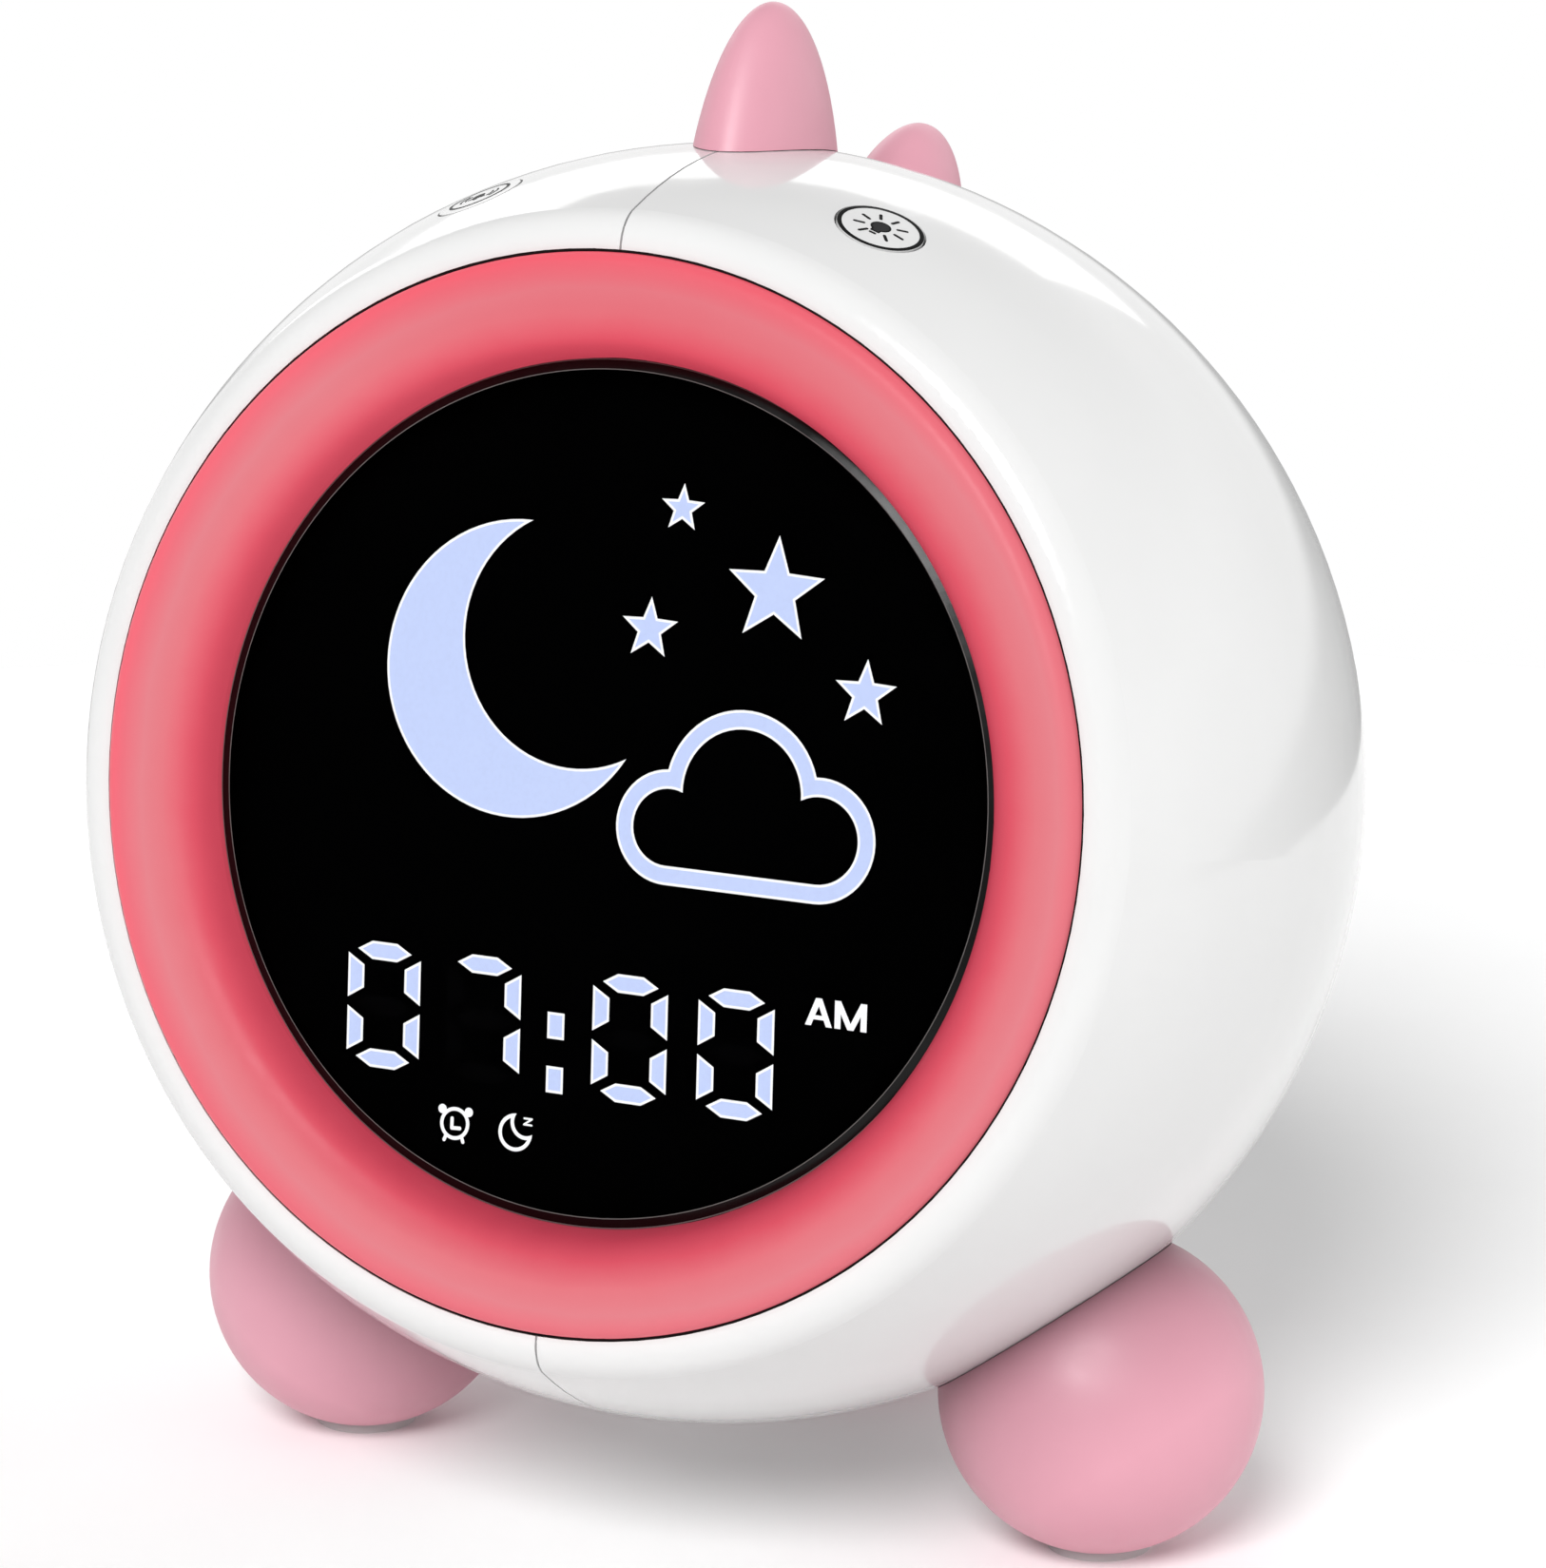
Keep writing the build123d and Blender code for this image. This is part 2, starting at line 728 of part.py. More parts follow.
def ring_leds():
    step = 360 / ring_led_count
    low = trough_reach + ring_board_thickness
    lamp = Pos(trough_middle, 0) * slab(ring_led_width, ring_led_length, low, low + ring_led_height)
    return Compound([Rot(0, 0, step * (number + 1 / 2)) * lamp for number in range(ring_led_count)])


def display_leds():
    """One lamp in each cell of the light box, and more along the picture."""
    centres = [sketch.center() for sketch in lit_digits + unlit_digits]
    places = [(centre.X, centre.Y) for centre in centres] + [am_cell_centre] + icon_places
    places += [*moon_led_places, *cloud_led_places] + [(x, y) for x, y, radius in star_places]
    lamp = slab(led_side, led_side, board_front, board_front + led_height)
    return Compound([(Pos(*place) * lamp).solid() for place in places])


def driver_chip():
    return Pos(0, driver_rise) * slab(driver_side, driver_side, board_back - driver_height, board_back)


# Pink pieces on the seam

def spike(angle, tip, half_width, half_length, half_height):
    """Rounded fin seated on the ball, with a headed root that the half shells close around."""
    fin = Pos(0, 0, tip - half_height) * scale(Sphere(body_radius), (half_width / body_radius,
                                               half_length / body_radius, half_height / body_radius))
    fin -= Sphere(body_radius + seat_gap)
    fin = fin.solids().sort_by(Axis.Z)[-1]
    neck = Box(root_width, root_length, body_radius + wall - inner_radius + root_depth, align=base_low)
    head = Box(root_width + 2 * root_lip, root_length + 2 * root_lip, root_head, align=base_high)
    root = Pos(0, 0, inner_radius - root_depth) * (neck + head)
    return on_seam(angle) * (fin + root)


def tail():
    """Rear support: a rounded stub cut flat just above the floor for its pad."""
    stub = spike(tail_angle, tail_tip, tail_half_width, tail_half_length, tail_half_height)
    size = 4 * body_radius
    return stub - level * slab(size, size, -size, tail_pad_thickness - centre_height)


def tail_pad():
    back = (centre_height - tail_pad_thickness) * tan(radians(180 - tail_angle))
    pad = column(tail_pad_radius, -centre_height, tail_pad_thickness - centre_height)
    return level * Pos(0, back) * pad


# Feet

def foot_centre(side):
    return level * Pos(side * foot_spread, foot_back, -foot_drop)


def foot_pad(side, gap=0):
    pad = column(foot_pad_radius + gap, -centre_height, foot_pad_thickness - centre_height)
    return level * Pos(side * foot_spread, foot_back) * pad


def foot(side):
    """Hollow ball cut to sit on the shell, with a peg for its screw."""
    centre = foot_centre(side)
    peg_end = inner_radius - foot_peg_inside
    peg_tip = centre.position.length + foot_radius - foot_wall / 2
    ball = centre * (Sphere(foot_radius) - Sphere(foot_radius - foot_wall)) - Sphere(body_radius + seat_gap)
    ball += foot_seat(side) * column(foot_peg_radius, peg_end, peg_tip)
    pilot = column(foot_screw_radius + foot_screw_gap, peg_end, peg_end + foot_screw_length)
    ball -= foot_seat(side) * pilot
    return ball - foot_pad(side, seat_gap)


def foot_screws():
    peg_end = inner_radius - foot_peg_inside
    one = screw(foot_screw_radius, foot_screw_length - foot_screw_gap, foot_head_radius, foot_head_height)
    return Compound([foot_seat(side) * Pos(0, 0, peg_end) * Rot(180, 0, 0) * one for side in (-1, 1)])


# Top buttons

def top_button(side):
    cap = column(button_radius, button_lip_bottom, 2 * body_radius) & Sphere(body_radius + button_rise)
    cap += column(button_radius + button_lip, button_lip_bottom, button_lip_reach)
    return button_seat(side) * cap


def top_plunger(side):
    return button_seat(side) * column(plunger_radius, button_lip_bottom - plunger_length, button_lip_bottom)


def top_switch(side):
    block = slab(switch_side, switch_side, switch_base, switch_top)
    block -= column(plunger_radius + button_gap, switch_base + switch_floor, switch_top)
    return button_seat(side) * block


def switch_board(side):
    board = slab(switch_board_length, switch_board_width, switch_board_back, switch_base)
    for place in (-switch_post_spread, switch_post_spread):
        board -= Pos(place, 0, 0) * column(pilot_radius, switch_board_back, switch_base)
    return button_seat(side) * board


def switch_board_screws():
    places = [button_seat(side) * Pos(place, 0, switch_board_back) for side in (-1, 1)
              for place in (-switch_post_spread, switch_post_spread)]
    return Compound([place * Rot(180, 0, 0) * board_screw() for place in places])


# Rear cover and what it carries

def rear_cover():
    cover = column(cover_radius, cover_inside, rear_reach)
    speaker_wall = speaker_radius + collar_gap
    cover += Pos(0, speaker_row) * tube(speaker_wall, speaker_wall + collar_wall,
                                        cover_inside - collar_height, cover_inside)
    for place in main_post_places:
        cover += Pos(*place) * column(main_post_radius, main_board_outside, cover_inside)
        screw_end = main_board_inside + screw_length
        cover -= Pos(*place) * column(pilot_radius, main_board_outside, screw_end + screw_gap)
    for place in around(cover_screw_circle, cover_screw_angles):
        cover -= place * column(cover_screw_radius + screw_gap, cover_inside, rear_reach)
        cover -= place * column(cover_head_radius + head_gap, rear_reach - cover_head_height, rear_reach)
    for across in rear_button_places.values():
        hole = column(rear_button_radius + rear_button_gap, cover_inside, rear_reach)
        cover -= Pos(across, rear_button_row) * hole
    usb_slot = SlotOverall(usb_width + 2 * usb_gap, usb_height + 2 * usb_gap)
    cover -= extrude(Pos(0, usb_row, cover_inside) * usb_slot, cover_thickness)
    for x, y in grille_places():
        cover -= Pos(x, speaker_row + y) * column(grille_hole_radius, cover_inside, rear_reach)
    return behind * cover


def grille_places():
    """Triangular pattern of holes inside a circle."""
    rows = round(grille_radius / grille_pitch) + 1
    places = []
    for row in range(-rows, rows + 1):
        for number in range(-rows, rows + 1):
            x = grille_pitch * (number + (row % 2) / 2)
            y = grille_pitch * row * sin(radians(60))
            if hypot(x, y) <= grille_radius:
                places.append((x, y))
    return places


def cover_screws():
    one = screw(cover_screw_radius, cover_screw_length, cover_head_radius, cover_head_height)
    places = around(cover_screw_circle, cover_screw_angles)
    return Compound([behind * Pos(0, 0, rear_reach - cover_head_height) * place * one for place in places])


def main_board():
    size = 2 * main_board_radius
    upper = slab(size, size, main_board_inside, main_board_outside)
    board = column(main_board_radius, main_board_inside, main_board_outside)
    board -= Pos(0, main_board_top + main_board_radius) * upper
    for place in main_post_places:
        board -= Pos(*place) * column(pilot_radius, main_board_inside, main_board_outside)
    return behind * board


def main_board_screws():
    return Compound([behind * Pos(*place) * Pos(0, 0, main_board_inside) * Rot(180, 0, 0) * board_screw()
                     for place in main_post_places])


def controller_chip():
    chip = slab(chip_side, chip_side, main_board_inside - chip_height, main_board_inside)
    return behind * Pos(*chip_place) * chip


rear_lip_high = cover_inside - rear_button_lip_gap
rear_lip_low = rear_lip_high - rear_button_lip_thickness


def rear_button(across):
    cap = column(rear_button_radius, rear_lip_low, rear_reach + rear_button_rise)
    cap = fillet(cap.edges().sort_by(Axis.Z)[-1], rear_button_rise / 2)
    cap += column(rear_button_radius + rear_button_lip, rear_lip_low, rear_lip_high)
    cap += column(rear_stem_radius, rear_lip_low - rear_stem_length, rear_lip_low)
    return behind * Pos(across, rear_button_row) * cap


def rear_switches():
    top = main_board_outside + rear_switch_height
    pressed = rear_lip_low - rear_stem_length - rear_button_travel
    block = slab(rear_switch_side, rear_switch_side, main_board_outside, top)
    block -= column(rear_stem_radius + rear_button_gap, pressed - rear_stem_clear, top)
    places = [Pos(across, rear_button_row) for across in rear_button_places.values()]
    return Compound([behind * place * block for place in places])


def usb_socket():
    outline = Pos(0, 0, main_board_outside) * SlotOverall(usb_width, usb_height)
    body = extrude(outline, rear_reach - main_board_outside)
    mouth = SlotOverall(usb_width - 2 * usb_wall, usb_height - 2 * usb_wall)
    body -= extrude(Pos(0, 0, rear_reach - usb_depth) * mouth, usb_depth)
    return behind * Pos(0, usb_row) * body


def usb_tongue():
    base = rear_reach - usb_depth
    tongue = slab(usb_tongue_width, usb_tongue_thickness, base, base + usb_tongue_length)
    return behind * Pos(0, usb_row) * tongue


# Speaker

speaker_back = cover_inside - speaker_depth
speaker_bowl = speaker_radius - speaker_rim
speaker_seat = behind * Pos(0, speaker_row)


def speaker_frame():
    plate_top = speaker_back + speaker_plate
    rim_low = cover_inside - speaker_rim_thickness
    bowl = turned((0, speaker_back), (speaker_base_radius, speaker_back), (speaker_radius, rim_low),
                  (speaker_radius, cover_inside), (speaker_bowl, cover_inside), (speaker_bowl, rim_low),
                  (speaker_base_radius - speaker_plate, plate_top), (0, plate_top))
    return speaker_seat * bowl


def speaker_cone():
    plate_top = speaker_back + speaker_plate
    edge = cover_inside - cone_edge_drop
    cone = turned((0, plate_top), (coil_radius, plate_top), (speaker_bowl, edge - cone_thickness),
                  (speaker_bowl, edge), (coil_radius, plate_top + 2 * cone_thickness),
                  (0, plate_top + 4 * cone_thickness))
    return speaker_seat * cone


def speaker_magnet():
    return speaker_seat * column(magnet_radius, speaker_back - magnet_height, speaker_back)


# Battery and leads

def battery_cell():
    return battery_seat() * Cylinder(battery_radius, battery_length)


def lead(points, bend):
    path = FilletPolyline(*points, radius=bend)
    return sweep(Plane(origin=path @ 0, z_dir=path % 0) * Circle(lead_radius), path)


def display_ribbon():
    x, y = ribbon_place
    first, second, third = ribbon_turns
    path = FilletPolyline((x, y, board_back), (x, y, first), (x, y + ribbon_slack, second), (x, y, third),
                          (x, y, -main_board_inside), radius=ribbon_bend)
    start = Plane(origin=path @ 0, x_dir=(1, 0, 0), z_dir=path % 0)
    return sweep(start * Rectangle(ribbon_width, ribbon_thickness), path)


def battery_lead():
    x = battery_lead_place
    start = battery_forward - battery_radius
    turn = start - battery_lead_turn
    return lead([(x, battery_rise, start), (x, battery_rise, turn), (x, battery_lead_end, turn),
                 (x, battery_lead_end, -main_board_inside)], lead_bend)


def speaker_lead():
    x = speaker_lead_offset
    turn = lead_loop - main_board_inside
    return lead([(x, speaker_row, -speaker_back), (x, speaker_row, turn), (x, speaker_lead_end, turn),
                 (x, speaker_lead_end, -main_board_inside)], lead_bend)


def button_lead(side):
    starts = [button_seat(side) * Pos(0, button_lead_start, switch_board_back - drop)
              for drop in (0, button_lead_drop)]
    points = [start.position for start in starts]
    points += [(side * x, y, z) for x, y, z in button_lead_turns]
    x, y = button_lead_end
    points += [(side * x, y, lead_loop - main_board_inside), (side * x, y, -main_board_inside)]
    return lead(points, lead_bend)


# Whole clock

def clock():
    nodes = {}
    nodes["left_shell"], nodes["right_shell"] = shells()
    nodes["front_frame"] = front_frame()
    nodes["light_ring"] = light_ring()
    nodes["ring_screws"] = ring_screws()
    nodes["ring_light_boards"] = ring_boards()
    nodes["ring_lamps"] = ring_leds()
    nodes["display_lens"] = display_lens()
    nodes["display_mask"] = display_mask()
    nodes["time_digits"] = raised(lit_digits, box_front, mask_front)
    nodes["unlit_segments"] = raised(unlit_digits, box_front, mask_front)
    nodes["am_mark"] = raised(am_sign, box_front, mask_front)
    nodes["status_signs"] = raised(icons, box_front, mask_front)
    nodes["night_picture"] = raised(picture, box_front, mask_front)
    nodes["display_light_box"] = light_box()
    nodes["display_board"] = display_plate([], board_back, board_front)
    nodes["display_lamps"] = display_leds()
    nodes["display_driver"] = driver_chip()
    nodes["horn"] = spike(horn_angle, body_radius + horn_rise, horn_half_width,
                          horn_half_length, horn_half_height)
    nodes["upper_spike"] = spike(upper_spike_angle, body_radius + upper_spike_rise, upper_spike_half_width,
                                 upper_spike_half_length, upper_spike_half_height)
    nodes["lower_spike"] = spike(lower_spike_angle, body_radius + lower_spike_rise, lower_spike_half_width,
                                 lower_spike_half_length, lower_spike_half_height)
    nodes["tail"] = tail()
    nodes["tail_pad"] = tail_pad()
    for name, side in (("left", -1), ("right", 1)):
        nodes[name + "_foot"] = foot(side)
        nodes[name + "_foot_pad"] = foot_pad(side)
    nodes["foot_screws"] = foot_screws()
    for name, side in (("sound", -1), ("light", 1)):
        nodes[name + "_button"] = top_button(side)
        nodes[name + "_plunger"] = top_plunger(side)
        nodes[name + "_switch"] = top_switch(side)
        nodes[name + "_board"] = switch_board(side)
        nodes[name + "_lead"] = button_lead(side)
    nodes["switch_board_screws"] = switch_board_screws()
    nodes["rear_cover"] = rear_cover()
    nodes["rear_cover_screws"] = cover_screws()
    for name, across in rear_button_places.items():
        nodes[name] = rear_button(across)
    nodes["rear_switches"] = rear_switches()
    nodes["main_board"] = main_board()
    nodes["main_board_screws"] = main_board_screws()
    nodes["controller_chip"] = controller_chip()
    nodes["usb_socket"] = usb_socket()
    nodes["usb_tongue"] = usb_tongue()
    nodes["speaker_frame"] = speaker_frame()
    nodes["speaker_cone"] = speaker_cone()
    nodes["speaker_magnet"] = speaker_magnet()
    nodes["battery_cell"] = battery_cell()
    nodes["display_ribbon"] = display_ribbon()
    nodes["battery_lead"] = battery_lead()
    nodes["speaker_lead"] = speaker_lead()
    return nodes


def standing(nodes):
    """Lean the clock back, stand it on the floor and centre it on the middle of its outer box."""
    stance = Pos(0, 0, centre_height) * Rot(upright, 0, 0)
    stood = {name: stance * shape for name, shape in nodes.items()}
    boxes = [shape.bounding_box() for shape in stood.values()]
    middle = (min(box.min.Y for box in boxes) + max(box.max.Y for box in boxes)) / 2
    return {name: Pos(0, -middle, 0) * shape for name, shape in stood.items()}


os.makedirs("parts", exist_ok=True)
for name, shape in standing(clock()).items():
    export_step(shape, f"parts/{name}.step")
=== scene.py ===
import json
from math import cos, pi, radians, sin, sqrt

import bmesh
import bpy
from mathutils import Matrix, Vector


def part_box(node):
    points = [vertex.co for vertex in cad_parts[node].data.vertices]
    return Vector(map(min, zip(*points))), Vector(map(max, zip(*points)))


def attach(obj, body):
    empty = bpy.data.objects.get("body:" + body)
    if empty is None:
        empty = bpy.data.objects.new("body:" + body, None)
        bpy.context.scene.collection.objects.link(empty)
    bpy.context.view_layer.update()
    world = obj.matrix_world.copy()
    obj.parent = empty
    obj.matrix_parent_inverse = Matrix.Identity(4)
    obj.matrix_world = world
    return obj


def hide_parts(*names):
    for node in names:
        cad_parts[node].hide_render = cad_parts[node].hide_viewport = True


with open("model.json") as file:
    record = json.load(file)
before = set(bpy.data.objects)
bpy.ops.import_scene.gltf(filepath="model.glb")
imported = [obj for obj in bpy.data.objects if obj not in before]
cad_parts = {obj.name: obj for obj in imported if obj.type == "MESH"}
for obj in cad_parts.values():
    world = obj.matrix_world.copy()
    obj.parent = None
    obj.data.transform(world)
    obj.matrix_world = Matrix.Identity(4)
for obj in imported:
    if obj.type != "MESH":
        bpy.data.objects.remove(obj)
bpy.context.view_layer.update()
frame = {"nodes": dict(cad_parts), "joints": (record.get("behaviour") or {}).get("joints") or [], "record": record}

nodes = frame["nodes"]

# Lengths are in metres, angles in degrees and colours in linear light.

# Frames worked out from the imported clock
# Face frame: X to the viewer's right, Y up along the display, Z out of it, ball centre at zero
press_axes = {joint["name"]: Vector(joint["axis"]) for joint in frame["joints"]}
out_of_display = press_axes["set_press"]
shell_low, shell_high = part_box("right_shell")
ball_radius = (shell_high.z - shell_low.z) / 2
board_middle = sum(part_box("display_board"), Vector()) / 2
board_reach = (board_middle.z - (shell_high.z + shell_low.z) / 2) / out_of_display.z
ball_centre = board_middle - out_of_display * board_reach

# Light ring
ring_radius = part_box("light_ring")[1].x
ring_lip_radius = 0.03615
ring_lip_share = 0.15
ring_cloud_size = 0.004
ring_cloud_share = 0.03
# Coral with painted light and shade: darker at the inner lip as painted shade, paler at the crown and outer edge
# as painted highlight
ring_coral_light_and_shade_stops = ((0.0, (0.19, 0.020, 0.034)), (0.15, (0.27, 0.027, 0.045)), (0.30, (0.31, 0.038, 0.056)),
              (0.53, (0.305, 0.073, 0.086)), (0.73, (0.305, 0.088, 0.101)),
              (0.915, (0.33, 0.066, 0.083)), (1.0, (0.36, 0.060, 0.079)))

# Painted glow of the ring: painted light paler along the slant and richer near the top, painted light and shade
# inside along the lean
ring_painted_light_slant = Vector((-0.94, 0.34, 0.0))
ring_painted_light_slant_shares = (-0.135, 0.095)
ring_painted_top_light_stops = ((0.7, (1.0, 1.0, 1.0)), (0.95, (1.0, 0.82, 0.85)))
ring_painted_lean = Vector((-0.6, 0.8, 0.0))
ring_painted_lean_shares = (-0.265, 0.12)
ring_painted_inner_shares = (0.2, 0.58)

# Painted shade: a dark strip set in the gap between the ring and the ball, where shade falls
gap_shade_clearance = 0.00001
gap_shade_width = 0.00023
gap_shade_low = 0.0272
gap_shade_high = 0.0279

# Display window, with a flange under the ring's lip and a raised, bevelled middle
window_flange_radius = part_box("display_lens")[1].x
window_radius = 0.03609
window_back = 0.0213
window_shoulder = 0.0229
window_front = 0.02445
window_bevel_width = 0.00085
window_bevel_depth = 0.00022
# The fine line and the rim are painted highlights: grey on the glass edges.
window_line = 0.00008
window_rim = 0.00012
window_rim_drop = 0.00005
window_edges = 192

# Feet, with painted shade: a deeper pink where they meet the ball
foot_shade_share = 0.52
foot_shade_reach = 0.013

# Colours that several materials have
white = (0.70, 0.70, 0.698)
pink = (0.66, 0.307, 0.380)

# Textures, with grains as a size and a depth
mottle_size = 0.011
gloss_size = 0.0035
ring_gloss_size = 0.002
ring_grain = (0.00025, 0.000006)
haze_size = 0.006
film_size = 0.0004
line_size = 0.0012
line_stretch = (1.0, 1.0, 9.0)
line_grain = (0.0006, 0.000004)
tracks_per_metre = 420.0
track_depth = 0.00003

# Meshes
weld_reach = 1e-7
front_share = 0.9

# Lit signs
sign_edge = 0.00022
sign_setback = 0.00002

# Prints on the buttons
ink_thickness = 0.00002
print_ring_radius = 0.00368
print_ring_width = 0.00038
bulb_radius = 0.00088
bulb_shoulder = -60
bulb_neck = 0.00042
bulb_drop = 0.00118
bulb_line = 0.00018
bulb_cap_start = 0.00134
bulb_cap_width = 0.00026
ray_first = -49
ray_step = 41.86
ray_count = 8
ray_start = 0.00145
ray_end = 0.00222
ray_width = 0.00028
bell_radius = 0.00072
bell_height = 0.00070
bell_flare = 0.00110
bell_rim = 0.00026
clapper_radius = 0.00026
wave_radii = (0.00165, 0.00225)
wave_half_angle = 34
wave_width = 0.00024
sound_share = 0.76
rear_sign_reach = 0.0012
rear_sign_width = 0.00036
dial_radius = 0.0011
dial_hand_shares = ((0, 0.62), (0, 0), (0.45, -0.26))
small_bell_share = 0.95

# Camera, fitted to the photograph
frame_height = 1649
camera_place = Vector((0.23086, -0.47791, 0.19644))
camera_look = Vector((-0.4223, 0.8720, -0.2475))
camera_sensor = 36.0
camera_focal_pixels = 6557
camera_clip = (0.01, 100.0)

# Stage and lights
floor_radius = 0.32
floor_edges = 96
floor_blot = 0.02
floor_stops = ((0.3, (0.925, 0.925, 0.925)), (0.7, (0.935, 0.935, 0.935)))
key_direction = Vector((0.13, -0.777, 0.616))
key_strength = 2.8
key_spread = 24
rear_box = (Vector((-0.411, 0.712, 0.366)), (0.96, 0.285), 1.1)
side_box = (Vector((0.86, 0.50, 0.12)), (0.90, 0.28), 2.6)
sky_axis = Vector((0.0, -0.342, 0.940))
sky_stops = ((0.31, (0.42, 0.42, 0.42)), (0.34, (1.0, 1.0, 1.0)), (0.52, (0.95, 0.95, 0.95)),
             (0.66, (0.40, 0.40, 0.40)))
flag_stops = ((cos(radians(9)), (1.0, 1.0, 1.0)), (cos(radians(5.5)), (0.0, 0.0, 0.0)))
backdrop_strength = 1.0


# Node materials

def add(tree, kind, inputs=None, **settings):
    """One shader node with its settings, and its inputs set or linked."""
    made = tree.nodes.new(kind)
    for name, value in settings.items():
        setattr(made, name, value)
    for name, value in (inputs or {}).items():
        if isinstance(value, bpy.types.NodeSocket):
            tree.links.new(value, made.inputs[name])
        else:
            made.inputs[name].default_value = value
    return made


def surface(name, **sockets):
    """Material with one Principled shader; constants go straight onto its sockets."""
    material = bpy.data.materials.new(name)
    material.use_nodes = True
    shader = material.node_tree.nodes["Principled BSDF"]
    for socket, value in sockets.items():
        shader.inputs[socket.replace("_", " ")].default_value = value
    return material, material.node_tree, shader


def place_of(tree):
    return add(tree, "ShaderNodeTexCoord").outputs["Object"]


def noise(tree, vector, size, detail=2.0):
    """Noise whose blots are about the given size across."""
    made = add(tree, "ShaderNodeTexNoise", {"Vector": vector, "Scale": 1 / size, "Detail": detail})
    return made.outputs["Fac"]


def ramp(tree, factor, *stops):
    """Colour ramp through (position, linear colour) stops."""
    made = add(tree, "ShaderNodeValToRGB", {"Fac": factor})
    elements = made.color_ramp.elements
    while len(elements) < len(stops):
        elements.new(1.0)
    for element, (position, colour) in zip(elements, stops):
        element.position = position
        element.color = (*colour, 1.0)
    return made.outputs["Color"]


def span(tree, value, low, high, start=0.0, end=1.0):
    """Value from start..end mapped to low..high."""
    made = add(tree, "ShaderNodeMapRange", {"Value": value, "From Min": start, "From Max": end,
                                            "To Min": low, "To Max": high})
    return made.outputs["Result"]


def dot(tree, vector, axis):
    """How far a vector reaches along an axis."""
    made = add(tree, "ShaderNodeVectorMath", {0: vector, 1: axis}, operation="DOT_PRODUCT")
    return made.outputs["Value"]


def scaled(tree, colour, share):
    made = add(tree, "ShaderNodeVectorMath", {0: colour, "Scale": share}, operation="SCALE")
    return made.outputs["Vector"]


def shaded(colour, share):
    """Colour dimmed to a share of its light."""
    return tuple(channel * share for channel in colour)


def grain(tree, shader, vector, size, depth):
    """Fine moulded grain as a bump."""
    height = noise(tree, vector, size, 3.0)
    bump = add(tree, "ShaderNodeBump", {"Height": height, "Distance": depth, "Strength": 1.0})
    tree.links.new(bump.outputs["Normal"], shader.inputs["Normal"])


def moulded(name, colour, roughness, spread, mottle_share, grain_size, grain_depth, shade_reach=0.0,
            **sockets):
    """Moulded plastic or rubber: faint mottling, uneven gloss and a fine grain.

    With a shade reach, painted shade makes the colour darker within that reach of the ball.
    """
    material, tree, shader = surface(name, **sockets)
    vector = place_of(tree)
    blots = noise(tree, vector, mottle_size, 3.0)
    mottle = ramp(tree, blots, (0.3, shaded(colour, mottle_share)), (0.7, colour))
    if shade_reach:
        # Painted shade: the colour darkens towards the ball.
        reach = add(tree, "ShaderNodeVectorMath", {0: vector, 1: ball_centre}, operation="DISTANCE")
        share = span(tree, reach.outputs["Value"], foot_shade_share, 1.0, ball_radius, ball_radius + shade_reach)
        mottle = scaled(tree, mottle, share)
    tree.links.new(mottle, shader.inputs["Base Color"])
    gloss = span(tree, noise(tree, vector, gloss_size), roughness - spread, roughness + spread, 0.3, 0.7)
    tree.links.new(gloss, shader.inputs["Roughness"])
    grain(tree, shader, vector, grain_size, grain_depth)
    return material


def face_place(tree):
    """Coordinates in the face frame."""
    turn = -out_of_display.angle(Vector((0, 0, 1)))
    shift = Matrix.Rotation(turn, 3, "X") @ ball_centre
    made = add(tree, "ShaderNodeMapping", {"Vector": place_of(tree), "Location": -shift,
                                           "Rotation": (turn, 0.0, 0.0)})
    return made.outputs["Vector"]


